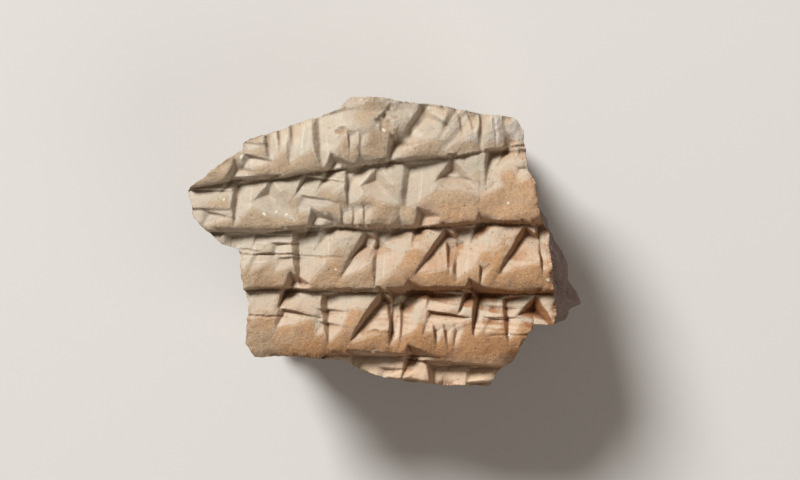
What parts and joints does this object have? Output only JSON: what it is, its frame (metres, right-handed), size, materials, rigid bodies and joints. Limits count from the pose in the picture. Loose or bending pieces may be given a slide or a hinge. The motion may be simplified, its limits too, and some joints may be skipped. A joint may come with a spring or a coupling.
{
  "type": "cuneiform tablet fragment",
  "caption": "Broken piece of a small baked clay tablet, its face ridged in lines and pressed full of wedge-shaped reed strokes, with rough broken sides and a plain, slightly rounded back.",
  "frame": {"origin": "on the surface that the back rests on, under the middle of the fragment's box", "axes": "+X along the lines of writing, to the right; +Y up the face, towards the first line; +Z out of the written face"},
  "size_m": [0.041, 0.0296, 0.017],
  "materials": {
    "clay": "matt, unglazed, dry baked clay"
  },
  "bodies": {
    "root": {"tablet_fragment": "clay"}
  },
  "joints": []
}
